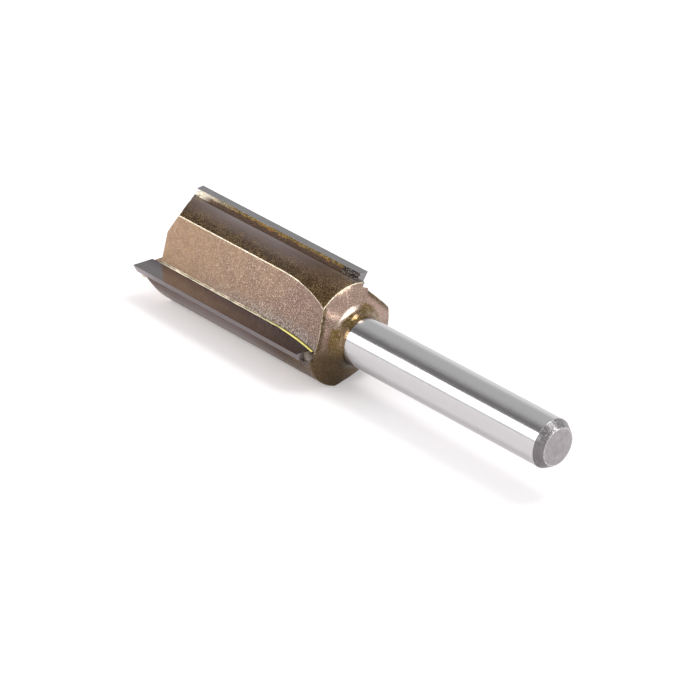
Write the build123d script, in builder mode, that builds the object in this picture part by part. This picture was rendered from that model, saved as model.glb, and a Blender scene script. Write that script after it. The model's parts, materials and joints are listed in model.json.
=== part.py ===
from build123d import *
from math import acos, atan2, cos, degrees, radians, sin, sqrt, tan
import os

# A three-flute straight router bit. One steel body (shank, neck and fluted head) is turned and
# milled from bar. Three carbide tips lie in seats milled along the wings, each held by a braze seam.
# The bit is made round the X axis, with lengths counted from the cutting corners towards the shank,
# and angles round the axis counted from +Y towards +Z. Last, it is laid on a table, where it rests
# on a tip's front corner and on the heel of the wing before it, with its shank clear.

# Driving dimensions, in millimetres and degrees.
CUTTING_DIAMETER = 16.0
CUTTING_LENGTH = 30.0
OVERALL_LENGTH = 66.0
SHANK_DIAMETER = 6.35
FLUTES = 3

# The turned blank of the steel body.
BODY_RADIUS = 6.85
BODY_FRONT = 0.5
RIM = 30.9
RIM_CONE_ANGLE = 17.0
NECK_RADIUS = 1.73
SHANK_CHAMFER_DEPTH = 0.7
SHANK_CHAMFER_LENGTH = 1.1

# The gullets, each milled with a flat floor that runs out in the cutter's arc.
FLOOR_DISTANCE = 4.36
FLOOR_LEAD_ANGLE = 16.0
RUN_OUT_START = 21.5
MILL_RADIUS = 35.0

# The front end of each wing, ground back behind its tip, with a gash in front of the tip.
HEEL_RELIEF_ANGLE = 40.4
HEEL_RELIEF_DIRECTION = 68.4
HEEL_RELIEF_REACH = 3.82
GASH_WIDTH = 4.1
GASH_DEPTH = 1.55
GASH_PAST_CENTRE = 0.6

# The seats, which slope out through the rim behind the tips.
SEAT_EXIT_ANGLE = 55.0

# The carbide tips.
TIP_WIDTH = 3.15
TIP_THICKNESS = 1.05
HOOK_ANGLE = 5.0
FLANK_ANGLE = 30.0
END_RELIEF_ANGLE = 6.6
END_DISH_ANGLE = 2.0

# The braze.
BRAZE_GAP = 0.08
BACK_FILLET = 0.3
BEAD_SIZE = 0.24
BEAD_END = 30.7
POOL_RADIUS = 0.48
POOL_LENGTH = 1.1
END_FILL_LENGTH = 0.8
END_FILL_START = 0.1
END_FILL_DROP = 0.6

EDGE_BREAK = 0.12
CLEAR = 2.0

CUTTING_RADIUS = CUTTING_DIAMETER / 2
SHANK_RADIUS = SHANK_DIAMETER / 2
WING_PITCH = 360 / FLUTES
os.makedirs("parts", exist_ok=True)

# The first wing is the one that points up when the bit lies down.
FIRST_WING_ANGLE = 70.0
WING_ANGLES = [FIRST_WING_ANGLE + WING_PITCH * wing for wing in range(FLUTES)]


def towards(angle):
    """A direction square to the axis."""
    return Vector(0, cos(radians(angle)), sin(radians(angle)))


def on_surface(angle, length, radius):
    """The point at this angle and length, at this distance from the axis."""
    return Vector(length, 0, 0) + towards(angle) * radius


def rake_section(angle, length):
    """A plane square to the axis at a cutting edge: x runs in along the rake face, y back into the tip."""
    inward = towards(angle + 180 - HOOK_ANGLE)
    return Plane(on_surface(angle, length, CUTTING_RADIUS), x_dir=inward, z_dir=(-1, 0, 0))


def rake_wall(angle):
    """The plane of a wing's rake face, with its normal into the gullet."""
    gullet_side = towards(angle - 90 - HOOK_ANGLE)
    return Plane(on_surface(angle, 0, CUTTING_RADIUS), x_dir=(1, 0, 0), z_dir=gullet_side)


def floor_distance(length):
    """How far a gullet floor stands from the axis, where the mill's arc lifts it out."""
    return FLOOR_DISTANCE + MILL_RADIUS - sqrt(MILL_RADIUS**2 - (length - RUN_OUT_START) ** 2)


def gullet_corner(length):
    """How far in from the edge, along its rake face, a gullet has its corner in the run-out."""
    edge_distance = CUTTING_RADIUS * cos(radians(FLOOR_LEAD_ANGLE))
    return (edge_distance - floor_distance(length)) / cos(radians(FLOOR_LEAD_ANGLE - HOOK_ANGLE))


def gullet_cutter(angle):
    """What the mill takes out in front of a rake face, with its arc at the rear end."""
    behind = RIM + CLEAR
    top = 2 * BODY_RADIUS
    floor_normal = angle - FLOOR_LEAD_ANGLE
    side_view = Plane((0, 0, 0), x_dir=(1, 0, 0), z_dir=towards(floor_normal + 90))
    with BuildPart() as cutter:
        with BuildSketch(side_view):
            with BuildLine():
                floor = Line((-CLEAR, FLOOR_DISTANCE), (RUN_OUT_START, FLOOR_DISTANCE))
                run_out = TangentArc(floor @ 1, (behind, floor_distance(behind)), tangent=floor % 1)
                Polyline(run_out @ 1, (behind, top), (-CLEAR, top), floor @ 0)
            make_face()
        extrude(amount=2 * BODY_RADIUS, both=True)
        split(bisect_by=rake_wall(angle), keep=Keep.TOP)
    return cutter.part


def heel_relief_cutter(angle):
    """The sloping cut on the front end of a wing, deepest at its heel."""
    far = 2 * CUTTING_RADIUS
    depth = BODY_FRONT + (far - HEEL_RELIEF_REACH) * tan(radians(HEEL_RELIEF_ANGLE))
    direction = angle + HEEL_RELIEF_DIRECTION
    side_view = Plane((0, 0, 0), x_dir=(1, 0, 0), z_dir=towards(direction + 90))
    with BuildPart() as cutter:
        with BuildSketch(side_view):
            with BuildLine():
                Polyline(
                    (BODY_FRONT, HEEL_RELIEF_REACH),
                    (depth, far),
                    (-CLEAR, far),
                    (-CLEAR, HEEL_RELIEF_REACH),
                    close=True,
                )
            make_face()
        extrude(amount=far, both=True)
    return cutter.part


def gash_cutter(angle):
    """The slot across the front end, along a rake face and just past the centre."""
    reach = CUTTING_RADIUS + GASH_PAST_CENTRE
    with BuildPart() as cutter:
        with BuildSketch(rake_section(angle, GASH_DEPTH)):
            with Locations((-CLEAR, 0)):
                Rectangle(reach + CLEAR, GASH_WIDTH, align=(Align.MIN, Align.MAX))
        extrude(amount=GASH_DEPTH + CLEAR)
    return cutter.part


def seat_cutter(angle):
    """The seat milled for a tip, with room for the braze, open outwards and sloping out behind."""
    seat_rear = CUTTING_LENGTH + BRAZE_GAP
    seat_bottom = TIP_WIDTH + BRAZE_GAP
    exit_length = (seat_bottom + CLEAR) / tan(radians(SEAT_EXIT_ANGLE))
    with BuildPart() as cutter:
        with BuildSketch(rake_wall(angle)):
            with BuildLine():
                Polyline(
                    (-CLEAR, -CLEAR),
                    (-CLEAR, seat_bottom),
                    (seat_rear, seat_bottom),
                    (seat_rear + exit_length, -CLEAR),
                    close=True,
                )
            make_face()
        extrude(amount=-TIP_THICKNESS - BRAZE_GAP)
    return cutter.part


# The steel body.
cutters = []
for angle in WING_ANGLES:
    cutters += [gullet_cutter(angle), heel_relief_cutter(angle), gash_cutter(angle), seat_cutter(angle)]

neck_foot = RIM + (BODY_RADIUS - SHANK_RADIUS) * tan(radians(RIM_CONE_ANGLE))
with BuildPart() as steel_body:
    with BuildSketch(Plane.XZ):
        with BuildLine():
            Line((BODY_FRONT, 0), (BODY_FRONT, BODY_RADIUS))
            outline = FilletPolyline(
                (BODY_FRONT, BODY_RADIUS),
                (RIM, BODY_RADIUS),
                (neck_foot, SHANK_RADIUS),
                (OVERALL_LENGTH - SHANK_CHAMFER_LENGTH, SHANK_RADIUS),
                radius=[EDGE_BREAK, NECK_RADIUS],
            )
            Polyline(
                outline @ 1,
                (OVERALL_LENGTH, SHANK_RADIUS - SHANK_CHAMFER_DEPTH),
                (OVERALL_LENGTH, 0),
                (BODY_FRONT, 0),
            )
        make_face()
    revolve(axis=Axis.X)
    for cutter in cutters:
        add(cutter, mode=Mode.SUBTRACT)


def carbide_tip(angle):
    """A tip: flat rake face, relieved flank and end, square back and rear end."""
    flank_drop = TIP_THICKNESS * tan(radians(FLANK_ANGLE))
    dish = towards(angle) * tan(radians(END_DISH_ANGLE))
    relief = towards(angle + 90) * tan(radians(END_RELIEF_ANGLE))
    end_face = Plane(on_surface(angle, 0, CUTTING_RADIUS), z_dir=Vector(1, 0, 0) + dish - relief)
    with BuildPart() as tip:
        with BuildSketch(rake_section(angle, CUTTING_LENGTH)):
            with BuildLine():
                Polyline(
                    (0, 0),
                    (TIP_WIDTH, 0),
                    (TIP_WIDTH, TIP_THICKNESS),
                    (flank_drop, TIP_THICKNESS),
                    close=True,
                )
            make_face()
        extrude(amount=CUTTING_LENGTH + CLEAR)
        split(bisect_by=end_face, keep=Keep.TOP)
    return tip.part


def end_fill(angle):
    """The braze that fills the seat behind a tip's rear end and slopes down to the rim."""
    inward = towards(angle + 180 - HOOK_ANGLE)
    seat_back = TIP_THICKNESS + BRAZE_GAP
    rear = CUTTING_LENGTH + END_FILL_LENGTH
    with BuildPart() as fill:
        with BuildSketch(Plane(on_surface(angle, 0, CUTTING_RADIUS), x_dir=(1, 0, 0), z_dir=inward)):
            with BuildLine():
                Polyline(
                    (CUTTING_LENGTH, END_FILL_START),
                    (rear, END_FILL_START + END_FILL_DROP),
                    (rear, seat_back),
                    (CUTTING_LENGTH, seat_back),
                    close=True,
                )
            make_face()
        extrude(amount=TIP_WIDTH + BRAZE_GAP)
        Cylinder(BODY_RADIUS - BRAZE_GAP, 2 * OVERALL_LENGTH, rotation=(0, 90, 0), mode=Mode.INTERSECT)
    return fill.part


def braze_seam(angle, tip):
    """The braze round a tip: a layer in its seat, a fillet on the land, a bead, a pool and an end fill."""
    flank_drop = TIP_THICKNESS * tan(radians(FLANK_ANGLE))
    seat_bottom = TIP_WIDTH + BRAZE_GAP
    seat_back = TIP_THICKNESS + BRAZE_GAP
    land = CUTTING_RADIUS - BODY_RADIUS
    corner = gullet_corner(RUN_OUT_START)
    front = rake_section(angle, GASH_DEPTH)
    with BuildPart() as seam:
        with BuildSketch(rake_section(angle, CUTTING_LENGTH)):
            with BuildLine():
                Polyline(
                    (flank_drop, TIP_THICKNESS),
                    (land + BACK_FILLET, seat_back + BACK_FILLET),
                    (land + 2 * BACK_FILLET, seat_back),
                    (seat_bottom, seat_back),
                    (seat_bottom, 0),
                    (TIP_WIDTH, 0),
                    (TIP_WIDTH, TIP_THICKNESS),
                    close=True,
                )
            make_face()
        extrude(amount=CUTTING_LENGTH - POOL_LENGTH)
        with Locations(front.from_local_coords((land, seat_back, GASH_DEPTH - POOL_LENGTH))):
            Sphere(POOL_RADIUS)
        with BuildLine(rake_wall(angle)) as path:
            straight = Line((GASH_DEPTH, corner), (RUN_OUT_START, corner))
            TangentArc(straight @ 1, (BEAD_END, gullet_corner(BEAD_END)), tangent=straight % 1)
        with BuildSketch(front):
            with BuildLine():
                Polyline(
                    (corner - BEAD_SIZE, 0),
                    (corner, -BEAD_SIZE),
                    (corner + BEAD_SIZE, -BEAD_SIZE),
                    (corner + BEAD_SIZE, 0),
                    close=True,
                )
            make_face()
        sweep(path=path.line)
        add(end_fill(angle))
        add(steel_body.part, mode=Mode.SUBTRACT)
        add(tip, mode=Mode.SUBTRACT)
    return seam.part


def heel_angle(length):
    """How far round from a wing's edge its heel is: the corner between its land and the next floor."""
    half_width = degrees(acos(floor_distance(max(length, RUN_OUT_START)) / BODY_RADIUS))
    return WING_PITCH - FLOOR_LEAD_ANGLE - half_width


solids = {"steel_body": steel_body.part}
for number, angle in enumerate(WING_ANGLES, start=1):
    tip = carbide_tip(angle)
    solids[f"carbide_tip_{number}"] = tip
    solids[f"braze_seam_{number}"] = braze_seam(angle, tip)

# The table touches the last tip's front corner, and both ends of the heel of the wing before it.
ground_off = BODY_RADIUS * cos(radians(HEEL_RELIEF_DIRECTION - heel_angle(0))) - HEEL_RELIEF_REACH
heel_front = BODY_FRONT + ground_off * tan(radians(HEEL_RELIEF_ANGLE))
heel_rear = RIM - EDGE_BREAK
tip_corner = on_surface(WING_ANGLES[2], 0, CUTTING_RADIUS)
front_heel = on_surface(WING_ANGLES[1] + heel_angle(heel_front), heel_front, BODY_RADIUS)
rear_heel = on_surface(WING_ANGLES[1] + heel_angle(heel_rear), heel_rear, BODY_RADIUS)
upwards = (front_heel - tip_corner).cross(rear_heel - tip_corner)
table = Plane(tip_corner, x_dir=(1, 0, 0), z_dir=upwards)
laid = {name: table.to_local_coords(solid) for name, solid in solids.items()}
box = Compound(list(laid.values())).bounding_box()
middle = Location((-box.center().X, -box.center().Y, -box.min.Z))
for name, solid in laid.items():
    placed = solid.moved(middle)
    placed.label = name
    export_step(placed, f"parts/{name}.step")

# The stretch of shank that a collet can hold, for the record.
shank_start = neck_foot + NECK_RADIUS * tan(radians((90 - RIM_CONE_ANGLE) / 2))
shank_end = OVERALL_LENGTH - SHANK_CHAMFER_LENGTH
ends = [table.to_local_coords(Vector(end, 0, 0)) + middle.position for end in (shank_start, shank_end)]
print("shank middle", (ends[0] + ends[1]) / 2, "direction", (ends[1] - ends[0]).normalized())
print("shank length", round(shank_end - shank_start, 3))
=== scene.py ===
# %% [markdown]
# # A router bit, dressed for a picture
#
# A straight router bit cuts grooves in wood. Its head is a steel core with three wings, each wing
# carries a strip of hard carbide, and a plain round shank goes into the router. The solids are
# already made and packed, in millimetre-true places, so this lesson only gives them their looks:
# softened edges, lumpy braze, and finishes that catch the light as ground and coated metal does.
# We start by loading that frame of solids. Everything later is placed from it.

import json
from math import atan2, cos, degrees, pi, radians, sin, tan

import bmesh
import bpy
from mathutils import Matrix, Vector, noise


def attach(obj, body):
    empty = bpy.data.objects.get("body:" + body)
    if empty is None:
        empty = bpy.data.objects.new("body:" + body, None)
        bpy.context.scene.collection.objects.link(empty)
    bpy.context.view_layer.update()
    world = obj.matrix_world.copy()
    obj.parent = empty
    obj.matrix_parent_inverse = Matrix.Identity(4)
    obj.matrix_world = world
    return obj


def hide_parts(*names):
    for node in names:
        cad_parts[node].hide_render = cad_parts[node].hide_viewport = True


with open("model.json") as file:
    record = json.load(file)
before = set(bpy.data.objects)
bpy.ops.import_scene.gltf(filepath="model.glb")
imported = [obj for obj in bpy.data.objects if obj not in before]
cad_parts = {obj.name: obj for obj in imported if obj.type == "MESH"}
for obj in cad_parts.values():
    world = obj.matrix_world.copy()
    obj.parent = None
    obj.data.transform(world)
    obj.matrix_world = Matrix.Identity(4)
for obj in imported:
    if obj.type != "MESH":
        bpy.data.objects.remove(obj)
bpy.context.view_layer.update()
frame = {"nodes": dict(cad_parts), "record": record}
scene = bpy.context.scene
nodes = frame["nodes"]
print("solids:", sorted(nodes))

# %% [markdown]
# ## The bit's own directions
#
# The bit doesn't lie quite level: its head is wider than its shank, so the axis climbs a little.
# Finishes on turned and milled steel follow the axis, not the table. The record of the part says
# where the shank's axis is, and from it we make one matrix that turns a place in the room into
# millimetres along the bit, counted from its cutting corners, and two directions across it.

# %% Bit coordinates
MM = 0.001
shank = next(mount for mount in frame["record"]["mounts"] if mount["name"] == "shank")
axis = Vector(shank["axis"]).normalized()
shank_middle = Vector(shank["pos_m"])
across = Vector((0, 1, 0))
above = axis.cross(across)
bit_turn = Matrix((axis, across, above)).to_3x3()

front_most = min(axis.dot(v.co - shank_middle) for v in nodes["carbide_tip_1"].data.vertices)
bit_front = shank_middle + axis * front_most


def in_bit(point):
    """A place in the room as (along, side, rise) in millimetres from the bit's front centre."""
    return bit_turn @ (Vector(point) - bit_front) / MM


bit_length = max(in_bit(v.co).x for v in nodes["steel_body"].data.vertices)
climb = degrees(atan2(axis.z, axis.x))
print(f"the bit is {bit_length:.1f} mm long and its axis climbs {climb:.2f} degrees")


def edge_angle(tip):
    """The direction of a tip's cutting edge round the axis, in degrees from the side."""
    corners = [in_bit(v.co) for v in nodes[tip].data.vertices]
    outermost = max(corners, key=lambda c: c.yz.length)
    return degrees(atan2(outermost.z, outermost.y)) % 360


TIPS = ["carbide_tip_1", "carbide_tip_2", "carbide_tip_3"]
wing_angles = [edge_angle(tip) for tip in TIPS]
print("cutting edges at", [round(angle, 1) for angle in wing_angles])

# %% [markdown]
# ## The camera
#
# The view is a close three-quarter one from above the shank's side, taken with a long lens, so that
# the far and near ends differ little in size. We say it as a photographer would: which way the
# camera stands from the bit, how high, how far, and how much it is rolled.

# %% Camera
CAMERA_AZIMUTH = radians(41.525)
CAMERA_HEIGHT = radians(24.333)
CAMERA_ROLL = radians(9.743)
CAMERA_DISTANCE = 466.4 * MM
CAMERA_AIM = Vector((-1.542, 0.601, 4.811)) * MM
SENSOR_WIDTH = 36
FOCAL_LENGTH = 195.9

lens = bpy.data.cameras.new("long_lens")
lens.sensor_width = SENSOR_WIDTH
lens.lens = FOCAL_LENGTH
camera = bpy.data.objects.new("camera", lens)
scene.collection.objects.link(camera)
from_aim = Vector(
    (
        cos(CAMERA_HEIGHT) * sin(CAMERA_AZIMUTH),
        -cos(CAMERA_HEIGHT) * cos(CAMERA_AZIMUTH),
        sin(CAMERA_HEIGHT),
    )
)
camera.location = CAMERA_AIM + from_aim * CAMERA_DISTANCE
level = Matrix.Rotation(CAMERA_AZIMUTH, 4, "Z") @ Matrix.Rotation(pi / 2 - CAMERA_HEIGHT, 4, "X")
camera.rotation_euler = (level @ Matrix.Rotation(CAMERA_ROLL, 4, "Z")).to_euler()
scene.camera = camera
print("camera at", [round(c, 3) for c in camera.location])

# %% [markdown]
# ## Copies that may be softened
#
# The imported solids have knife-sharp corners, and real edges always carry a small round that catches
# the light. The solids themselves must stay as they are, so we work on copies: join the doubled
# points that the file format leaves, merge facets that lie in one plane, bevel each edge where two
# faces meet at a clear angle, and shade smoothly only across shallow angles. A bevel by code is
# exact and the same on each run.

# %% Softened copies
SAME_POINT = 0.002 * MM
SAME_PLANE = radians(0.3)
SHARP = radians(24)


def joined_mesh(node):
    """A copy of a solid's mesh with its doubled points joined."""
    mesh = bmesh.new()
    mesh.from_mesh(nodes[node].data)
    bmesh.ops.remove_doubles(mesh, verts=mesh.verts, dist=SAME_POINT)
    bmesh.ops.dissolve_limit(mesh, angle_limit=SAME_PLANE, verts=mesh.verts, edges=mesh.edges)
    mesh.normal_update()
    for edge in mesh.edges:
        edge.smooth = True
    return mesh


def round_edges(mesh, width, material=-1, where=None):
    """Bevels the sharp edges of a mesh, or those of them that a test picks."""
    edges = [e for e in mesh.edges if e.is_manifold and e.calc_face_angle(0) > SHARP]
    if where:
        edges = [e for e in edges if where(e)]
    rounded = bmesh.ops.bevel(
        mesh,
        geom=edges,
        offset=width,
        offset_type="OFFSET",
        segments=2,
        profile=0.5,
        affect="EDGES",
        clamp_overlap=False,
        material=material,
    )
    made = set(rounded["faces"])
    for edge in mesh.edges:
        if sum(face in made for face in edge.link_faces) == 1:
            edge.smooth = False
    return len(edges)


def smooth_shallow(mesh):
    """Smooth shading, with a crease wherever two faces meet at a clear angle."""
    for face in mesh.faces:
        face.smooth = True
    for edge in mesh.edges:
        edge.smooth = edge.smooth and edge.calc_face_angle(0) < SHARP


def show_piece(mesh, name, stands_for):
    """Turns an edited mesh into a piece that rides on the bit and stands for its solid."""
    data = bpy.data.meshes.new(name)
    smooth_shallow(mesh)
    mesh.to_mesh(data)
    mesh.free()
    piece = bpy.data.objects.new(name, data)
    scene.collection.objects.link(piece)
    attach(piece, "root")
    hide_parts(stands_for)
    print(f"{name}: {len(data.polygons)} faces")
    return piece


# %% [markdown]
# ## The steel body
#
# The body is one bar of steel, but it isn't one finish. The shank is ground bright, its end is only
# turned, and the head and neck carry a thin bronze coat. That coat looks grainy on the blasted
# gullet floors and neck, and dark and glossy on the smooth lands. So each face of the copy is told
# which finish it has, from where it lies along the bit and which way it faces. Here and in all the
# finishes, lengths and radii are in millimetres and turns round the axis are in degrees. How far a
# face looks to the rear is the part of its normal along the axis, from -1 to 1.

# %% Faces sorted by finish
HEAD_REAR = 30.9
COAT_END = 33.31
CHAMFER_START = 64.9
LAND_RADIUS = 6.85
RIM_ROUND = 0.12
FACES_REAR = 0.97
LEANS_REAR = 0.05
FACES_FRONT = -0.4
LAND_MARGIN = 0.05
FINISHES = ["floor", "land", "neck", "edge", "front", "shank", "chamfer", "end"]


def finish_of(face):
    """The finish of one face of the steel body."""
    middle = in_bit(face.calc_center_median())
    facing = bit_turn @ face.normal
    radius = min(in_bit(v.co).yz.length for v in face.verts)
    if middle.x > CHAMFER_START:
        return "end" if facing.x > FACES_REAR else "chamfer"
    if middle.x > COAT_END:
        return "shank"
    if abs(middle.x - HEAD_REAR) < RIM_ROUND and radius > LAND_RADIUS - RIM_ROUND:
        return "edge"
    if middle.x > HEAD_REAR - RIM_ROUND and facing.x > LEANS_REAR:
        return "neck"
    if facing.x < FACES_FRONT:
        return "front"
    if radius > LAND_RADIUS - LAND_MARGIN:
        return "land"
    return "floor"


body_mesh = joined_mesh("steel_body")
for face in body_mesh.faces:
    face.material_index = FINISHES.index(finish_of(face))
finish_numbers = [face.material_index for face in body_mesh.faces]
counts = {finish: finish_numbers.count(number) for number, finish in enumerate(FINISHES)}
print("faces by finish:", counts)

# %% [markdown]
# The long corners of the head are a little round. A bevel needs room: where very short edges or very
# narrow facets meet, it would throw out spikes. So the last facets of each round land, beside its
# heel, are first joined into one, the bevel takes only the corners that have room, and the joined
# facets are cut up again. A crease where the cone meets the neck keeps the cone's shading even.

# %% Rounded corners of the body
HEAD_CORNER = 0.07 * MM
SHANK_CORNER = 0.06 * MM
SHORT_EDGE = 0.25 * MM
NARROW = radians(14)
WING_PITCH = 120
HEEL = 53.5
HEEL_STRIP = 11
NECK_START = 4.40
NECK_MARGIN = 0.03
BEVEL_MARGIN = 0.5


def has_room(vertex):
    """Whether no very short edge and no very narrow facet meets at a corner."""
    long_edges = all(edge.calc_length() > SHORT_EDGE for edge in vertex.link_edges)
    return long_edges and all(loop.calc_angle() > NARROW for loop in vertex.link_loops)


def on_head(edge):
    """Whether an edge lies on the head and has room for a bevel."""
    return all(in_bit(v.co).x < COAT_END - BEVEL_MARGIN and has_room(v) for v in edge.verts)


def on_shank(edge):
    """Whether an edge lies at the end of the shank."""
    return all(in_bit(v.co).x > CHAMFER_START - BEVEL_MARGIN for v in edge.verts)


def beside_heel(face):
    """Whether a face is a land's facet that lies close to its heel."""
    corners = [in_bit(v.co) for v in face.verts]
    turns = [(degrees(atan2(c.z, c.y)) - wing_angles[0]) % WING_PITCH for c in corners]
    return face.material_index == FINISHES.index("land") and min(turns) > HEEL - HEEL_STRIP


def starts_neck(edge):
    """Whether an edge lies where the rim's cone meets the round of the neck."""
    finishes = {face.material_index for face in edge.link_faces}
    radii = [in_bit(v.co).yz.length for v in edge.verts]
    off_line = max(abs(radius - NECK_START) for radius in radii)
    return finishes == {FINISHES.index("neck")} and off_line < NECK_MARGIN


heel_facets = {face for face in body_mesh.faces if beside_heel(face)}
inside_strips = [edge for edge in body_mesh.edges if heel_facets.issuperset(edge.link_faces)]
bmesh.ops.dissolve_edges(body_mesh, edges=inside_strips, use_verts=False)
worn = round_edges(body_mesh, HEAD_CORNER, FINISHES.index("edge"), on_head)
softened = round_edges(body_mesh, SHANK_CORNER, -1, on_shank)
for edge in body_mesh.edges:
    if starts_neck(edge):
        edge.smooth = False
strips = [face for face in body_mesh.faces if beside_heel(face)]
bmesh.ops.triangulate(body_mesh, faces=strips)
print(worn, "edges rounded on the head and", softened, "on the shank")
steel_body = show_piece(body_mesh, "coated_body", "steel_body")

# %% [markdown]
# ## The carbide tips
#
# A tip is ground from a very hard, grey, slightly satin material. Its edges are crisp, so the bevel
# is only a few hundredths of a millimetre, just enough to draw a thin light line in a close view.

# %% Tips
TIP_CORNER = 0.03 * MM
tips = []
for number, tip in enumerate(TIPS, start=1):
    tip_mesh = joined_mesh(tip)
    round_edges(tip_mesh, TIP_CORNER)
    tips.append(show_piece(tip_mesh, f"ground_tip_{number}", tip))

# %% [markdown]
# ## The braze
#
# Braze is poured metal. It creeps along the joint, swells where there was too much and thins where
# there was too little, so a straight ridge looks wrong. We cut the long faces of its copy into short
# ones and then move each point in or out by a few hundredths of a millimetre at most. A smooth noise
# that depends only on the point's place says how far.

# %% Braze
BRAZE_STEP = 0.45 * MM
BRAZE_SWELL = 0.04 * MM
BRAZE_NOISE = 0.7 / MM


def cut_along(mesh, step):
    """Cuts a mesh across the bit's axis at equal steps."""
    lengths = [axis.dot(v.co - bit_front) for v in mesh.verts]
    start = min(lengths)
    for number in range(1, int((max(lengths) - start) / step)):
        place = bit_front + axis * (start + number * step)
        geometry = mesh.verts[:] + mesh.edges[:] + mesh.faces[:]
        bmesh.ops.bisect_plane(mesh, geom=geometry, plane_co=place, plane_no=axis)


def swell(mesh, depth):
    """Moves each point along its normal by a smooth noise."""
    mesh.normal_update()
    moves = [(v, v.normal * depth * noise.noise(v.co * BRAZE_NOISE)) for v in mesh.verts]
    for vertex, move in moves:
        vertex.co += move


seams = []
for number in range(1, 4):
    seam_mesh = joined_mesh(f"braze_seam_{number}")
    cut_along(seam_mesh, BRAZE_STEP)
    swell(seam_mesh, BRAZE_SWELL)
    seams.append(show_piece(seam_mesh, f"poured_braze_{number}", f"braze_seam_{number}"))

# %% [markdown]
# ## Small tools for shaders
#
# A finish is a tree of nodes. Short helpers keep the trees readable: they add a node with its values,
# calculate with numbers or sockets, blend colours, and turn a range of values into a mask. Effects that
# several finishes need are made once as node groups, and each finish gives them its own values. A
# socket knows its tree, so most helpers need only the sockets.

# %% Node helpers
def add(tree, kind, values=(), **settings):
    """Adds a shader node, sets its properties, and its inputs from (name, value) pairs."""
    node = tree.nodes.new(f"ShaderNode{kind}")
    for name, value in settings.items():
        setattr(node, name, value)
    for name, value in values:
        node.inputs[name].default_value = value
    return node


def tree_of(*terms):
    """The tree of the first socket among some terms."""
    return next(term.id_data for term in terms if hasattr(term, "id_data"))


def join(socket, into):
    """Joins an output socket to an input socket."""
    socket.id_data.links.new(socket, into)


def calculate(operation, *terms, clamp=False):
    """A Math node on numbers or sockets, as its output socket."""
    node = add(tree_of(*terms), "Math", operation=operation, use_clamp=clamp)
    for socket, term in zip(node.inputs, terms):
        if isinstance(term, (int, float)):
            socket.default_value = term
        else:
            join(term, socket)
    return node.outputs[0]


def times(*terms, clamp=False):
    """The product of two numbers or sockets, as an output socket."""
    return calculate("MULTIPLY", *terms, clamp=clamp)


def plus(*terms, clamp=False):
    """The sum of two numbers or sockets, as an output socket."""
    return calculate("ADD", *terms, clamp=clamp)


def minus(*terms, clamp=False):
    """The first number or socket less the second, as an output socket."""
    return calculate("SUBTRACT", *terms, clamp=clamp)


def blend(share, first, second, mode="MIX"):
    """A Mix node on two colours, given as sockets or as values, as its output socket."""
    node = add(tree_of(share, first, second), "Mix", data_type="RGBA", blend_type=mode)
    for socket, term in ((node.inputs[0], share), (node.inputs[6], first), (node.inputs[7], second)):
        if hasattr(term, "links"):
            join(term, socket)
        elif isinstance(term, (int, float)):
            socket.default_value = term
        else:
            socket.default_value = (*term, 1)
    return node.outputs[2]


def spread(value, low, high, **settings):
    """A mask that grows from 0 to 1 as a socket's value goes from low to high."""
    node = add(value.id_data, "MapRange", values=[("From Min", low), ("From Max", high)], **settings)
    join(value, node.inputs["Value"])
    return node.outputs[0]


def new_group(name, inputs, outputs):
    """An empty node group: inputs are (name, kind, value), outputs are (name, kind)."""
    tree = bpy.data.node_groups.new(name, "ShaderNodeTree")
    for socket, kind, value in inputs:
        made = tree.interface.new_socket(socket, in_out="INPUT", socket_type=f"NodeSocket{kind}")
        made.default_value = value
    for socket, kind in outputs:
        tree.interface.new_socket(socket, in_out="OUTPUT", socket_type=f"NodeSocket{kind}")
    return tree, tree.nodes.new("NodeGroupInput"), tree.nodes.new("NodeGroupOutput")


def place_group(tree, group, **values):
    """Puts a node group into a tree and returns its outputs. Values may be numbers or sockets."""
    node = add(tree, "Group", node_tree=group)
    for name, value in values.items():
        socket = node.inputs[name.replace("_", " ")]
        if hasattr(value, "links"):
            join(value, socket)
        else:
            socket.default_value = value
    return node.outputs


def tell(name, tree):
    """Prints how large a tree is."""
    print(name, "has", len(tree.nodes), "nodes")


# %% [markdown]
# ## Group: where on the bit
#
# Grinding lines, speckle and heat tints all follow the bit, so every finish asks this group where
# a point is: how far along the axis, aside, up and out from it, how far round behind the last cutting
# edge, and how far in front of the nearest rake face. The group holds the same turn and shift as our
# matrix above, in a Mapping node.

# %% Group: bit place
MEASURES = ["Along", "Side", "Rise", "Radius", "Behind Edge", "From Rake"]

place_outputs = [("Place", "Vector")] + [(measure, "Float") for measure in MEASURES]
tree, _, place_out = new_group("bit_place", [], place_outputs)
local = add(tree, "TexCoord")
to_bit = add(tree, "Mapping", vector_type="POINT")
to_bit.inputs["Scale"].default_value = (1 / MM,) * 3
to_bit.inputs["Rotation"].default_value = bit_turn.to_euler()
to_bit.inputs["Location"].default_value = -(bit_turn @ bit_front) / MM
join(local.outputs["Object"], to_bit.inputs["Vector"])
parts = add(tree, "SeparateXYZ")
join(to_bit.outputs[0], parts.inputs[0])
along, side, rise = parts.outputs
squares = [times(s, s) for s in (side, rise)]
radius = calculate("SQRT", plus(*squares))
angle = times(calculate("ARCTAN2", rise, side), 180 / pi)
from_edge = minus(angle, wing_angles[0])
behind = calculate("FLOORED_MODULO", from_edge, WING_PITCH)

# %% [markdown]
# A rake face leans: it doesn't point straight at the axis but is turned by the hook angle about its
# cutting edge. So the distance from its plane has two parts, one from how far in a point lies and
# one from how far behind the edge's line it lies. The nearest edge may be ahead or behind.

# %% Group: bit place, from the rake
HOOK = radians(5)
CUTTING_RADIUS = 8.0
HALF_PITCH = WING_PITCH / 2

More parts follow.
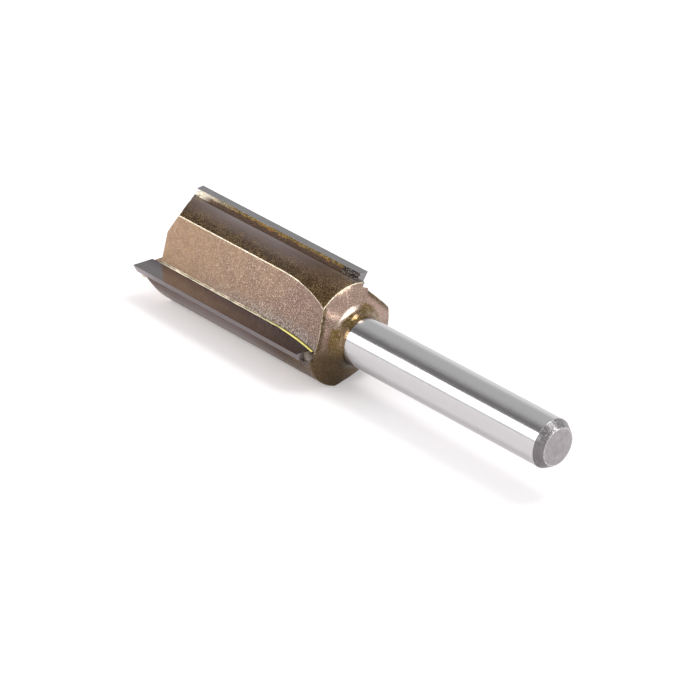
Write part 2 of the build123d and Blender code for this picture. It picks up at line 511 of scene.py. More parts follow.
half_on = plus(from_edge, HALF_PITCH)
nearest = calculate("FLOORED_MODULO", half_on, WING_PITCH)
turn = calculate("RADIANS", minus(nearest, HALF_PITCH))
out_from_axis = times(radius, calculate("COSINE", turn))
behind_line = times(radius, calculate("SINE", turn))
inwards = minus(CUTTING_RADIUS, out_from_axis)
leaning = times(inwards, sin(HOOK))
straight_back = times(behind_line, cos(HOOK))
from_rake = minus(leaning, straight_back)
measured = (to_bit.outputs[0], along, side, rise, radius, behind, from_rake)
for (name, _), socket in zip(place_outputs, measured):
    join(socket, place_out.inputs[name])
bit_place = tree
tell("bit_place", bit_place)

# %% [markdown]
# ## Group: grains
#
# A blasted, coated surface glitters because it is covered with small facets that tilt at random.
# Voronoi cells are a good stand-in: each cell is a grain with its own random tone, and its rounded
# height tilts the light. A share of the cells, picked by a second random value, is kept as glints.

# %% Group: grains
grains, grains_in, grains_out = new_group(
    "grains",
    [("Place", "Vector", (0, 0, 0)), ("Size", "Float", 0.15), ("Glint Share", "Float", 0.1)],
    [("Height", "Float"), ("Tone", "Float"), ("Glints", "Float")],
)
density = calculate("DIVIDE", 1.0, grains_in.outputs["Size"])
cells = add(grains, "TexVoronoi", feature="SMOOTH_F1", values=[("Smoothness", 0.35)])
random_cells = add(grains, "TexVoronoi", feature="F1")
for texture in (cells, random_cells):
    join(grains_in.outputs["Place"], texture.inputs["Vector"])
    join(density, texture.inputs["Scale"])
channels = add(grains, "SeparateColor")
join(random_cells.outputs["Color"], channels.inputs[0])
dome = minus(1.0, cells.outputs["Distance"])
uneven = times(dome, channels.outputs["Red"])
glint_limit = minus(1.0, grains_in.outputs["Glint Share"])
glints = calculate("GREATER_THAN", channels.outputs["Green"], glint_limit)
for name, socket in (("Height", uneven), ("Tone", channels.outputs["Blue"]), ("Glints", glints)):
    join(socket, grains_out.inputs[name])
tell("grains", grains)

# %% [markdown]
# ## Group: drifts
#
# No coat is even. This group gives slow, soft changes of tone over a few millimetres, which the
# finishes use to shift colour and roughness. The noise's finer layers keep it from looking airbrushed.

# %% Group: drifts
NOISE_RANGE = (0.3, 0.7)

drifts, drifts_in, drifts_out = new_group(
    "drifts",
    [("Place", "Vector", (0, 0, 0)), ("Reach", "Float", 4.0), ("Detail", "Float", 3.0)],
    [("Tone", "Float")],
)
slow = add(drifts, "TexNoise", values=[("Roughness", 0.6)])
join(drifts_in.outputs["Place"], slow.inputs["Vector"])
join(calculate("DIVIDE", 1.0, drifts_in.outputs["Reach"]), slow.inputs["Scale"])
join(drifts_in.outputs["Detail"], slow.inputs["Detail"])
join(spread(slow.outputs[0], *NOISE_RANGE), drifts_out.inputs["Tone"])
tell("drifts", drifts)

# %% [markdown]
# ## Group: tool marks
#
# Grinding and turning leave fine parallel lines. They are noise that is drawn out in one direction:
# the place is scaled by a different amount along each axis before the noise reads it.

# %% Group: tool marks
marks, marks_in, marks_out = new_group(
    "tool_marks",
    [("Place", "Vector", (0, 0, 0)), ("Closeness", "Vector", (1, 1, 1))],
    [("Height", "Float"), ("Tone", "Float")],
)
drawn = add(marks, "VectorMath", operation="MULTIPLY")
join(marks_in.outputs["Place"], drawn.inputs[0])
join(marks_in.outputs["Closeness"], drawn.inputs[1])
noise_lines = add(marks, "TexNoise", values=[("Scale", 1.0), ("Detail", 4.0), ("Roughness", 0.7)])
join(drawn.outputs[0], noise_lines.inputs["Vector"])
for name in ("Height", "Tone"):
    join(noise_lines.outputs[0], marks_out.inputs[name])
tell("tool_marks", marks)

# %% [markdown]
# ## Group: corner wear and painted highlight
#
# The coat is worn through to pale metal along the head's long corners: where a gullet floor meets a
# land, and round the rim. The pale colour also stands in for the highlight on these rounded corners, so
# it is partly real wear and partly a painted highlight. A land's heel lies at the land's own radius,
# and the rim's cone gives a straight relation between radius and length, so both corners can be found
# from the bit place. The rubbing is uneven, so grains break the line up.

# %% Group: corner wear and painted highlight
RIM_CONE_ANGLE = radians(17)
RIM_SLOPE = tan(RIM_CONE_ANGLE)
RIM_LINE = HEAD_REAR + LAND_RADIUS * RIM_SLOPE
WEAR_WIDTH = 0.1
WEAR_SOFTNESS = 0.05
WEAR_LEAST = 0.45
WEAR_UNEVENNESS = 0.8

wear, wear_in, wear_out = new_group(
    "corner_wear_and_highlight",
    [("Place", "Vector", (0, 0, 0)), ("Along", "Float", 0.0), ("Radius", "Float", 0.0)],
    [("Heel", "Float"), ("Rim", "Float")],
)
rubbed = place_group(wear, grains, Place=wear_in.outputs["Place"], Size=0.22, Glint_Share=0.6)
broken = plus(WEAR_LEAST, times(rubbed["Tone"], WEAR_UNEVENNESS), clamp=True)
cone_place = times(wear_in.outputs["Radius"], RIM_SLOPE)
along_cone = plus(wear_in.outputs["Along"], cone_place)
from_rim = minus(along_cone, RIM_LINE)
from_heel = minus(wear_in.outputs["Radius"], LAND_RADIUS)
for name, distance in (("Heel", from_heel), ("Rim", from_rim)):
    inside = plus(distance, WEAR_WIDTH)
    share = calculate("DIVIDE", inside, WEAR_SOFTNESS, clamp=True)
    join(times(share, broken), wear_out.inputs[name])
print("group", wear.name, "finds the rim at", round(RIM_LINE, 2))


def worn_and_lit_corners(tree, place):
    """The corner wear and painted highlight at a bit place: a Heel and a Rim output."""
    return place_group(tree, wear, **{name: place[name] for name in ("Place", "Along", "Radius")})


# %% [markdown]
# ## Finishes on the steel body
#
# Each finish is one material with its own Principled shader. The first helper starts them all alike:
# it makes the material, its shader, and the bit place that the rest of the tree reads. A named pair
# of values says where a mask is 0 and where it has grown to 1. The first may be the larger one.

# %% Material helper
def new_finish(name, **shader_values):
    """A metal material: returns it, its tree, its shader and the bit place's outputs."""
    material = bpy.data.materials.new(name)
    material.use_nodes = True
    tree = material.node_tree
    shader = tree.nodes["Principled BSDF"]
    shader.inputs["Metallic"].default_value = 1.0
    for socket, value in shader_values.items():
        shader.inputs[socket.replace("_", " ")].default_value = value
    place = place_group(tree, bit_place)
    return material, tree, shader, place


def paint(shader, colour):
    """Gives a shader its colour from a socket."""
    join(colour, shader.inputs["Base Color"])


def raise_surface(shader, height, depth):
    """Gives a shader a bump of this depth, in metres, from a height socket."""
    bump = add(height.id_data, "Bump", values=[("Strength", 1.0), ("Distance", depth)])
    join(height, bump.inputs["Height"])
    join(bump.outputs[0], shader.inputs["Normal"])


def ramp(value, stops):
    """A colour ramp on a socket: stops are (position, colour)."""
    node = add(value.id_data, "ValToRGB")
    elements = node.color_ramp.elements
    while len(elements) < len(stops):
        elements.new(1.0)
    for element, (position, colour) in zip(elements, stops):
        element.position = position
        element.color = (*colour, 1)
    join(value, node.inputs[0])
    return node.outputs[0]


# %% [markdown]
# ### The gullet floors
#
# The floors are blasted and coated: a warm tan metal with a fine glitter. It is more golden at the
# front and turns a little pink towards the rear, where the coat is thinner and sparkles more.

# %% Floor finish: the coat
FLOOR_GOLD = (0.54, 0.375, 0.250)
FLOOR_PINK = (0.37, 0.255, 0.210)
FLOOR_GLINT = (0.78, 0.63, 0.50)
FLOOR_SHADE = (0.60, 0.56, 0.52)
FLOOR_REARWARD = (6.0, 28.0)
PINK_PATCHES = 0.7
PINK_LIMIT = 0.35
LEAST_SPARKLE = 0.45
FLOOR_GRAIN = 0.005 * MM

floor_finish, tree, shader, place = new_finish("blasted_coat", Roughness=0.42)
where = place["Place"]
fine = place_group(tree, grains, Place=where, Size=0.08, Glint_Share=0.13)
patches = place_group(tree, drifts, Place=where, Reach=2.6, Detail=4.0)
mottle = place_group(tree, drifts, Place=where, Reach=0.5, Detail=3.0)
rearward = spread(place["Along"], *FLOOR_REARWARD)
pinkness = plus(rearward, times(patches[0], PINK_PATCHES))
tint = blend(minus(pinkness, PINK_LIMIT, clamp=True), FLOOR_GOLD, FLOOR_PINK)
shade = blend(1.0, tint, FLOOR_SHADE, "MULTIPLY")
uneven = plus(fine["Tone"], mottle[0])
shaded = blend(times(uneven, 0.5), tint, shade)
brighter = plus(LEAST_SPARKLE, rearward)
sparkle = times(fine["Glints"], brighter, clamp=True)
floor_coat = blend(sparkle, shaded, FLOOR_GLINT)
raise_surface(shader, fine["Height"], FLOOR_GRAIN)

# %% [markdown]
# Beside the braze, the flux has left a spatter of pale beads and dark pits on the floor. It grows
# towards the rear and thins out away from the bead. Along the floor's corners the coat is rubbed
# through to pale metal, and the pale also serves as a painted highlight on these corners.

# %% Floor finish: spatter and rubbed corners
SPATTER_DARK = (0.14, 0.105, 0.075)
SPATTER_PALE = (0.72, 0.66, 0.62)
SPATTER_ACROSS = (2.2, 0.1)
SPATTER_ALONG = (7.0, 24.0)
SPATTER_PITS = 0.4
UNDER_TIP = -0.3
CORNER_PALE_AND_HIGHLIGHT = (0.92, 0.84, 0.70)

spatter = place_group(tree, grains, Place=where, Size=0.13, Glint_Share=0.38)
ahead_of_rake = calculate("GREATER_THAN", place["From Rake"], UNDER_TIP)
beside_bead = spread(place["From Rake"], *SPATTER_ACROSS)
beside_bead = times(beside_bead, ahead_of_rake)
beside_bead = times(beside_bead, spread(place["Along"], *SPATTER_ALONG))
dark_grains = calculate("LESS_THAN", spatter["Tone"], SPATTER_PITS)
pits = times(dark_grains, beside_bead)
beads = times(spatter["Glints"], beside_bead)
floor_coat = blend(pits, floor_coat, SPATTER_DARK)
floor_coat = blend(beads, floor_coat, SPATTER_PALE)
rubbed = worn_and_lit_corners(tree, place)
bare = calculate("MAXIMUM", rubbed["Heel"], rubbed["Rim"])
paint(shader, blend(bare, floor_coat, CORNER_PALE_AND_HIGHLIGHT))
tell(floor_finish.name, tree)

# %% [markdown]
# ### The lands
#
# The lands are turned smooth before they are coated, so the same coat looks dark and glossy there: a
# brown metal under a clear layer that mirrors the room at low angles. Halfway along the head it is
# purplish. Gold speckle shows through where the coat is thin, near the heel and the rear end.

# %% Land finish: colour
LAND_PURPLE = (0.160, 0.090, 0.080)
LAND_BROWN = (0.115, 0.064, 0.030)
HEEL_SPECKS = (0.46 * HEEL, 0.92 * HEEL)
REAR_SPECKS = (25.0, 31.0)
HEAD_MIDDLE = 13.0
BROWN_AWAY = (4.0, 13.0)
BROWNEST = 0.85
PATCH_LIFT = 0.15

land_finish, tree, shader, place = new_finish("smooth_coat", Roughness=0.30)
where = place["Place"]
fine = place_group(tree, grains, Place=where, Size=0.085, Glint_Share=0.34)
patches = place_group(tree, drifts, Place=where, Reach=1.8, Detail=4.0)
near_heel = spread(place["Behind Edge"], *HEEL_SPECKS)
near_rear = spread(place["Along"], *REAR_SPECKS)
thin_coat = calculate("MAXIMUM", near_heel, near_rear)
patchy = times(thin_coat, plus(patches[0], PATCH_LIFT), clamp=True)
speckled = times(patchy, fine["Glints"], clamp=True)
from_middle = calculate("ABSOLUTE", minus(place["Along"], HEAD_MIDDLE))
browner = times(spread(from_middle, *BROWN_AWAY), BROWNEST)
base = blend(calculate("MAXIMUM", thin_coat, browner), LAND_PURPLE, LAND_BROWN)

# %% [markdown]
# Just beside a tip's rear end, the heat and the flux have left the land crusty. The gloss is a coat
# on the shader, and it thins where the speckle shows and where the land is browner.

# %% Land finish: crust and gloss
LAND_SPECK = (0.60, 0.41, 0.19)
CRUST_DARK = (0.105, 0.078, 0.064)
CRUST_PALE = (0.42, 0.37, 0.33)
CRUST_ALONG = (28.2, 29.4)
CRUST_BEHIND = (26.0, 14.0)
LAND_GRAIN = 0.010 * MM
GLOSS_LOSS = 0.8

beside_tip = spread(place["Behind Edge"], *CRUST_BEHIND)
crusty = times(spread(place["Along"], *CRUST_ALONG), beside_tip)
base = blend(crusty, base, CRUST_DARK)
speck = blend(crusty, LAND_SPECK, CRUST_PALE)
paint(shader, blend(speckled, base, speck))
for name, value in (("Coat IOR", 1.65), ("Coat Roughness", 0.16)):
    shader.inputs[name].default_value = value
thinner = calculate("MAXIMUM", times(patchy, GLOSS_LOSS), browner)
covering = minus(1.0, thinner, clamp=True)
join(covering, shader.inputs["Coat Weight"])
grainy = times(fine["Height"], patchy)
raise_surface(shader, grainy, LAND_GRAIN)
tell(land_finish.name, tree)

# %% [markdown]
# ### The neck and the rim's cone
#
# Behind the head the coat covers a turned cone and the round of the neck. It has the floors' grain, but
# it is smoother, so the neck holds a soft highlight. The round of the neck is olive. On one side it has
# a pale patch where the side lamp's highlight falls, which makes that highlight white: a painted
# highlight.

# %% Neck finish: tan, olive and a painted highlight
NECK_TAN = (0.50, 0.355, 0.285)
NECK_PAINTED_HIGHLIGHT = (0.60, 0.48, 0.42)
NECK_OLIVE = (0.24, 0.155, 0.055)
ROUND_OF_NECK = (4.6, 4.2)
OUTER_ROUND = (3.65, 3.95)
OLIVE_LIFT = 0.45
HIGHLIGHT_SIDE = radians(118)
HIGHLIGHT_TOWARDS = (0.78, 0.93)

neck_finish, tree, shader, place = new_finish("neck_coat", Roughness=0.20)
where, radius = place["Place"], place["Radius"]
fine = place_group(tree, grains, Place=where, Size=0.09, Glint_Share=0.12)
patches = place_group(tree, drifts, Place=where, Reach=1.6, Detail=3.0)
on_neck = spread(radius, *ROUND_OF_NECK)
olive_share = times(on_neck, plus(patches[0], OLIVE_LIFT), clamp=True)
tint = blend(olive_share, NECK_TAN, NECK_OLIVE)
# Painted highlight: a pale patch on the upper side of the round, where the side lamp's highlight falls.
towards = [
    times(place[measure], share)
    for measure, share in (("Side", cos(HIGHLIGHT_SIDE)), ("Rise", sin(HIGHLIGHT_SIDE)))
]
towards = calculate("DIVIDE", plus(*towards), radius)
highlight_side = spread(towards, *HIGHLIGHT_TOWARDS)
outer_round = times(on_neck, spread(radius, *OUTER_ROUND))
painted_highlight = times(highlight_side, outer_round)
tint = blend(painted_highlight, tint, NECK_PAINTED_HIGHLIGHT)

# %% [markdown]
# Shade is painted into the coat underneath, and in a band where each gullet floor runs out through the
# rim. Over all of it lies the grain, with fewer bright grains in the painted shade underneath.

# %% Neck finish: painted shade and grain
NECK_PAINTED_SHADE = (0.165, 0.115, 0.060)
SHADE_UNDERNEATH = (1.5, -2.0)
FLOOR_SIDE = 104
RUN_OUT_SHADE = (5.0, 5.4)
NECK_GRAIN = 0.001 * MM
GLINT_STRENGTH = 0.4
FEWER_BELOW = 0.7

# Painted shade: darker underneath, and in the band where each gullet floor runs out.
shade_underneath = spread(place["Rise"], *SHADE_UNDERNEATH)
tint = blend(shade_underneath, tint, NECK_PAINTED_SHADE)
turn = minus(place["Behind Edge"], FLOOR_SIDE)
cosine = calculate("COSINE", times(turn, pi / 180))
from_gullet = times(radius, cosine)
tint = blend(spread(from_gullet, *RUN_OUT_SHADE), tint, NECK_PAINTED_SHADE)
shade = blend(1.0, tint, FLOOR_SHADE, "MULTIPLY")
shaded = blend(fine["Tone"], tint, shade)
glinting = blend(GLINT_STRENGTH, tint, FLOOR_GLINT, "SCREEN")
lit_share = minus(1.0, times(shade_underneath, FEWER_BELOW))
sparkle = times(fine["Glints"], lit_share)
neck_coat = blend(sparkle, shaded, glinting)
bare = worn_and_lit_corners(tree, place)["Heel"]
paint(shader, blend(bare, neck_coat, CORNER_PALE_AND_HIGHLIGHT))
raise_surface(shader, fine["Height"], NECK_GRAIN)
tell(neck_finish.name, tree)

# %% [markdown]
# ### Worn corners
#
# On the corners of the head the coat is rubbed thin. The metal under it is pale, and the wear is
# uneven, so the line breaks up into bright and dull stretches. The pale colour is partly a painted
# highlight on the rounded corners, and on the lower side they are painted browner: painted shade.

# %% Corner finish
CORNER_DULL = (0.70, 0.58, 0.42)
CORNER_SHADE_BROWN = (0.24, 0.17, 0.12)
SHADED_LOWER_SIDE = (3.2, -1.5)
CORNER_GRAIN = 0.012 * MM

corner_finish, tree, shader, place = new_finish("worn_and_lit_corner", Roughness=0.55)
fine = place_group(tree, grains, Place=place["Place"], Size=0.17, Glint_Share=0.45)
rubbed = blend(fine["Glints"], CORNER_DULL, CORNER_PALE_AND_HIGHLIGHT)
# Painted shade: the corners on the lower side are painted browner.
shaded_lower = spread(place["Rise"], *SHADED_LOWER_SIDE)
paint(shader, blend(shaded_lower, rubbed, CORNER_SHADE_BROWN))
raise_surface(shader, fine["Height"], CORNER_GRAIN)
tell(corner_finish.name, tree)

# %% [markdown]
# ### The shank
#
# The shank is ground to fit a collet: bright, bare steel with very fine lines round it. Those lines
# soften reflections a little along the bit and leave them sharp across it.

# %% Shank finish
SHANK_STEEL = (0.705, 0.695, 0.705)
SHANK_TONE = 0.97
RING_TONE = 0.12
SHANK_ROUGHNESS = 0.10
SMEARED = 0.05
SHANK_GRAIN = 0.0008 * MM

shank_finish, tree, shader, place = new_finish("ground_shank")
where = place["Place"]
rings = place_group(tree, marks, Place=where, Closeness=(9.0, 0.5, 0.5))
patches = place_group(tree, drifts, Place=where, Reach=5.0, Detail=5.0)
faint = times(minus(rings["Tone"], 0.5), RING_TONE)
tone = plus(SHANK_TONE, faint, clamp=True)
grey = add(tree, "CombineColor")
for channel, value in zip(("Red", "Green", "Blue"), SHANK_STEEL):
    join(times(tone, value), grey.inputs[channel])
paint(shader, grey.outputs[0])
smeared = times(patches[0], SMEARED)
join(plus(SHANK_ROUGHNESS, smeared), shader.inputs["Roughness"])
fine = place_group(tree, grains, Place=where, Size=0.14, Glint_Share=0.1)
ground = plus(rings["Height"], fine["Height"])
raise_surface(shader, ground, SHANK_GRAIN)
tell(shank_finish.name, tree)

# %% [markdown]
# ### The chamfer and the end of the shank
#
# The end is sawn or turned and never ground, so it is duller than the shank. Its rings run round the
# axis. To draw rings, the noise reads only the distance from the axis, not the direction. Handling
# has left smudges on the end, bright dents round its rim and a scuffed patch on the chamfer.

# %% End finishes
END_STEEL = (0.48, 0.455, 0.462)
CHAMFER_STEEL = (0.265, 0.25, 0.255)
RUBBED_STEEL = (0.80, 0.78, 0.78)
LIGHTER = 1.35
DARKER = 0.7
END_RIM = (2.28, 2.36)
UPPER_SIDE = (0.6, 1.6)
SMUDGED = 0.8


def turned_finish(name, steel, closeness, depth, roughness, rubbed_at):
    """Dull turned steel, with rings round the axis and pale rubbed marks in the given place."""
    material, tree, shader, place = new_finish(name, Roughness=roughness)
    rings_at = add(tree, "CombineXYZ")
    join(place["Radius"], rings_at.inputs["X"])
    join(place["Along"], rings_at.inputs["Y"])
    rings = place_group(tree, marks, Place=rings_at.outputs[0], Closeness=(closeness, closeness, 1.0))
    scratches = place_group(tree, marks, Place=place["Place"], Closeness=(3.0, 3.0, 9.0))
    both = plus(rings["Height"], scratches["Height"])
    light = tuple(min(1.0, c * LIGHTER) for c in steel)
    dark = tuple(c * DARKER for c in steel)
    tint = ramp(times(both, 0.5), [(0.35, dark), (0.65, light)])
    smudges = place_group(tree, drifts, Place=place["Place"], Reach=1.1, Detail=4.0)
    tint = blend(times(smudges[0], SMUDGED), tint, dark)
    fine = place_group(tree, grains, Place=place["Place"], Size=0.09, Glint_Share=0.4)
    rubbed = times(fine["Glints"], rubbed_at(place))
    paint(shader, blend(rubbed, tint, RUBBED_STEEL))
    raise_surface(shader, both, depth)
    tell(name, tree)
    return material


def round_the_rim(place):
    """A mask for the rim of the end face."""
    return spread(place["Radius"], *END_RIM)


def on_top(place):
    """A mask for the upper side of the chamfer."""
    patches = place_group(place["Place"].id_data, drifts, Place=place["Place"], Reach=0.8, Detail=2.0)
    return times(spread(place["Rise"], *UPPER_SIDE), patches[0])


end_finish = turned_finish("turned_end", END_STEEL, 7.0, 0.003 * MM, 0.42, round_the_rim)
chamfer_finish = turned_finish("turned_chamfer", CHAMFER_STEEL, 4.0, 0.012 * MM, 0.34, on_top)

# %% [markdown]
# ### Front faces
#
# The front ends of the wings are ground after brazing, through the coat, so they are pale grey with
# a little of the coat's colour left in the hollows.

# %% Front finish
FRONT_GREY = (0.52, 0.50, 0.48)
FRONT_GRAIN = 0.004 * MM

front_finish, tree, shader, place = new_finish("ground_front", Roughness=0.38)
where = place["Place"]
lines = place_group(tree, marks, Place=where, Closeness=(2.0, 1.0, 10.0))
fine = place_group(tree, grains, Place=where, Size=0.16, Glint_Share=0.1)
tint = blend(lines["Tone"], FRONT_GREY, FLOOR_GOLD)
paint(shader, tint)
ground = plus(lines["Height"], fine["Height"])
raise_surface(shader, ground, FRONT_GRAIN)
tell(front_finish.name, tree)

# %% [markdown]
# Each face of the body already carries the number of its finish, so the materials go onto the body
# in the same order as the list of finishes.

# %% Finishes onto the body
BODY_FINISHES = {
    "floor": floor_finish,
    "land": land_finish,
    "neck": neck_finish,
    "edge": corner_finish,
    "front": front_finish,
    "shank": shank_finish,
    "chamfer": chamfer_finish,
    "end": end_finish,
}
for finish in FINISHES:
    steel_body.data.materials.append(BODY_FINISHES[finish])
print("the body has", len(steel_body.data.materials), "finishes")

# %% [markdown]
# ## The carbide finish
#
# Ground carbide is a neutral grey and reflects less than steel. The wheel leaves fine lines along the
# strip. Its lower side is painted a little warmer, a painted reflection of the pinkish table in shade.
# The rake faces carry a painted reflection: darker deep in the gullet and towards the rear, where they
# would mirror the dark body, and lighter at the front and near the edge, where they would mirror the
# white table.

# %% Carbide finish
CARBIDE_GREY = (0.275, 0.268, 0.274)
CARBIDE_LIGHT = (0.365, 0.355, 0.362)
CARBIDE_WARM_REFLECTION = (0.325, 0.275, 0.285)
WARM_REFLECTION_RISE = (1.0, -3.0)
RAKE_DEEP_REFLECTION = (0.62, 0.55, 0.60)
RAKE_EDGE_REFLECTION = (1.0, 0.97, 0.90)
RAKE_FRONT_REFLECTION = (0.70, 0.73, 0.78)
RAKE_REAR_REFLECTION = (0.235, 0.225, 0.235)
RAKE_RADII = (5.0, 6.6)
RAKE_ALONG = (8.0, 29.0)
RAKE_MARGIN = -0.02
CARBIDE_GRAIN = 0.0015 * MM

carbide_finish, tree, shader, place = new_finish("ground_carbide", Roughness=0.20)
where = place["Place"]
lines = place_group(tree, marks, Place=where, Closeness=(0.4, 14.0, 14.0))
patches = place_group(tree, drifts, Place=where, Reach=2.5, Detail=4.0)
share = times(plus(lines["Tone"], patches[0]), 0.5)
ground = blend(share, CARBIDE_GREY, CARBIDE_LIGHT)
# Painted reflection: the lower side is warmer, as if it mirrored the pinkish table in shade.
warm_reflection_share = spread(place["Rise"], *WARM_REFLECTION_RISE)
ground = blend(warm_reflection_share, ground, CARBIDE_WARM_REFLECTION)
# Painted reflection on the rake faces: darker deep in the gullet and towards the rear, lighter at the
# front and near the edge.
on_rake = calculate("GREATER_THAN", place["From Rake"], RAKE_MARGIN)
rake_reflection_depth = blend(spread(place["Radius"], *RAKE_RADII), RAKE_DEEP_REFLECTION, RAKE_EDGE_REFLECTION)
rearward = spread(place["Along"], *RAKE_ALONG)
stained = blend(1.0, rake_reflection_depth, blend(rearward, RAKE_FRONT_REFLECTION, RAKE_REAR_REFLECTION), "MULTIPLY")
rake = blend(1.0, ground, stained, "MULTIPLY")
paint(shader, blend(on_rake, ground, rake))
raise_surface(shader, lines["Height"], CARBIDE_GRAIN)
for tip in tips:
    tip.data.materials.append(carbide_finish)
tell(carbide_finish.name, tree)

# %% [markdown]
# ## The braze finish
#
# The bead in the gullet corner is cream at the front and turns yellow towards the rear. A dark
# hairline parts its clean half from the half that the coat has run over, which is dull tan and ends
# dark olive.

# %% Braze finish: the bead
BEAD_CREAM = (0.40, 0.345, 0.27)
BEAD_YELLOW = (0.40, 0.345, 0.115)
BEAD_TAN = (0.33, 0.27, 0.21)
BEAD_OLIVE = (0.07, 0.06, 0.02)
YELLOW_ALONG = (19.5, 25.0)
OLIVE_ALONG = (18.0, 24.0)
HAIRLINE = 0.13
HAIRLINE_STEP = (-0.015, 0.015)
HAIRLINE_WIDTH = (0.045, 0.025)
HAIRLINE_GAPS = (0.25, 0.5)
HAIRLINE_ALONG = (24.0, 21.0)

braze_finish, tree, shader, place = new_finish("poured_metal")
where = place["Place"]
along, behind = place["Along"], place["Behind Edge"]
patches = place_group(tree, drifts, Place=where, Reach=0.9, Detail=3.0)
fine = place_group(tree, grains, Place=where, Size=0.14, Glint_Share=0.35)
bead = blend(spread(along, *YELLOW_ALONG), BEAD_CREAM, BEAD_YELLOW)
coated = blend(fine["Glints"], BEAD_TAN, BEAD_CREAM)
coated = blend(spread(along, *OLIVE_ALONG), coated, BEAD_OLIVE)
from_hairline = minus(place["From Rake"], HAIRLINE)
bead = blend(spread(from_hairline, *HAIRLINE_STEP), bead, coated)
near_hairline = spread(calculate("ABSOLUTE", from_hairline), *HAIRLINE_WIDTH)
hairline = times(near_hairline, spread(patches[0], *HAIRLINE_GAPS))
hairline = times(hairline, spread(along, *HAIRLINE_ALONG))
bead = blend(hairline, bead, BEAD_OLIVE)

# %% [markdown]
# On the land side, a line next to the carbide is cream at the front and gold behind, with olive and
# orange stains. The foot below it is coated as dark as the land. The pool at the very front stays
# clean, and the last stretch is crusty.

# %% Braze finish: the land side
BRAZE_CREAM = (0.88, 0.80, 0.66)
BRAZE_GOLD = (0.74, 0.52, 0.22)
BRAZE_ORANGE = (0.42, 0.17, 0.04)
BRAZE_OLIVE = (0.16, 0.105, 0.030)
BRAZE_FOOT = (0.22, 0.14, 0.10)
GOLD_ALONG = (1.5, 9.0)
STAIN_PATCHES = (0.35, 0.75)
STAIN_ALONG = (2.0, 8.0)
FOOT_RADII = (7.19, 7.27)
UNEVENNESS = 0.25
POOL_ALONG = (3.4, 1.8)
LAST_STRETCH = (27.0, 27.3)

line = blend(spread(along, *GOLD_ALONG), BRAZE_CREAM, BRAZE_GOLD)
stain = blend(spread(patches[0], *STAIN_PATCHES), BRAZE_OLIVE, BRAZE_ORANGE)
stained = times(spread(along, *STAIN_ALONG), fine["Tone"])
line = blend(stained, line, stain)
uneven = times(minus(patches[0], 0.5), UNEVENNESS)
above_foot = spread(plus(place["Radius"], uneven), *FOOT_RADII)
on_land = blend(above_foot, BRAZE_FOOT, line)
on_land = blend(spread(along, *POOL_ALONG), on_land, BRAZE_CREAM)
dark_crust = blend(fine["Glints"], CRUST_DARK, CRUST_PALE)
last_part = spread(plus(along, uneven), *LAST_STRETCH)
on_land = blend(last_part, on_land, dark_crust)

# %% [markdown]
# Behind the tips the braze ends in a rough crust that is hardly metallic. The turn behind the edge
# tells the sides apart: the land side lies between the tip and the heel, and the crust lies behind
# the rake face and past the tip's end. The front is satin and smooth, and the rest is finely rough.

# %% Braze finish: crust and gloss
BRAZE_CRUST = (0.42, 0.36, 0.31)
CRUST_GREY = (0.22, 0.18, 0.15)
LAND_SIDE = 6.0
PAST_HEEL = 60.0
BEHIND_RAKE = 1.9
TIP_END = (30.0, 30.05)
CRUST_DULLNESS = 0.8
BRAZE_ROUGHNESS = 0.26
SATIN = 0.34
SATIN_ALONG = (4.5, 1.5)
GRAINY_ALONG = (1.5, 5.0)
BRAZE_GRAIN = 0.006 * MM

before_heel = calculate("LESS_THAN", behind, PAST_HEEL)
land_side, behind_rake = (
    times(calculate("GREATER_THAN", behind, start), before_heel)
    for start in (LAND_SIDE, BEHIND_RAKE)
)
colour = blend(land_side, bead, on_land)
crust = blend(fine["Tone"], CRUST_GREY, BRAZE_CRUST)
at_end = times(spread(along, *TIP_END), behind_rake)
paint(shader, blend(at_end, colour, crust))
dullness = times(at_end, CRUST_DULLNESS)
join(minus(1.0, dullness), shader.inputs["Metallic"])
satin = times(spread(along, *SATIN_ALONG), SATIN)
join(plus(satin, BRAZE_ROUGHNESS), shader.inputs["Roughness"])
rough = times(fine["Height"], spread(along, *GRAINY_ALONG))
raise_surface(shader, rough, BRAZE_GRAIN)
for seam in seams:
    seam.data.materials.append(braze_finish)
tell(braze_finish.name, tree)

# %% [markdown]
# ## The table
#
# The bit lies on a plain white table. The table is an ordinary matt surface, so it keeps the bit's
# soft shadow. For the camera a little plain light is added that lifts it to white, and for what
# mirrors the table a smaller part of it, without putting any more light on the bit.

# %% Table
TABLE_HALF = 2.5
TABLE_WHITE = (0.86, 0.83, 0.84)
TABLE_LIFT = 0.30
TABLE_MIRRORED = 0.10
SHEET_CORNERS = ((-1, -1), (1, -1), (1, 1), (-1, 1))


def flat_sheet(name, half_length, half_width):
    """A flat rectangle, as an object in the scene."""
    sheet_mesh = bpy.data.meshes.new(name)
    corners = [(x * half_length, y * half_width, 0) for x, y in SHEET_CORNERS]
    sheet_mesh.from_pydata(corners, [], [(0, 1, 2, 3)])
    sheet = bpy.data.objects.new(name, sheet_mesh)
    scene.collection.objects.link(sheet)
    return sheet


def empty_material(name):
    """A material whose tree holds only an output: returns it, its tree and the output's socket."""
    material = bpy.data.materials.new(name)
    material.use_nodes = True
    material.node_tree.nodes.clear()
    output = add(material.node_tree, "OutputMaterial")
    return material, material.node_tree, output.inputs["Surface"]


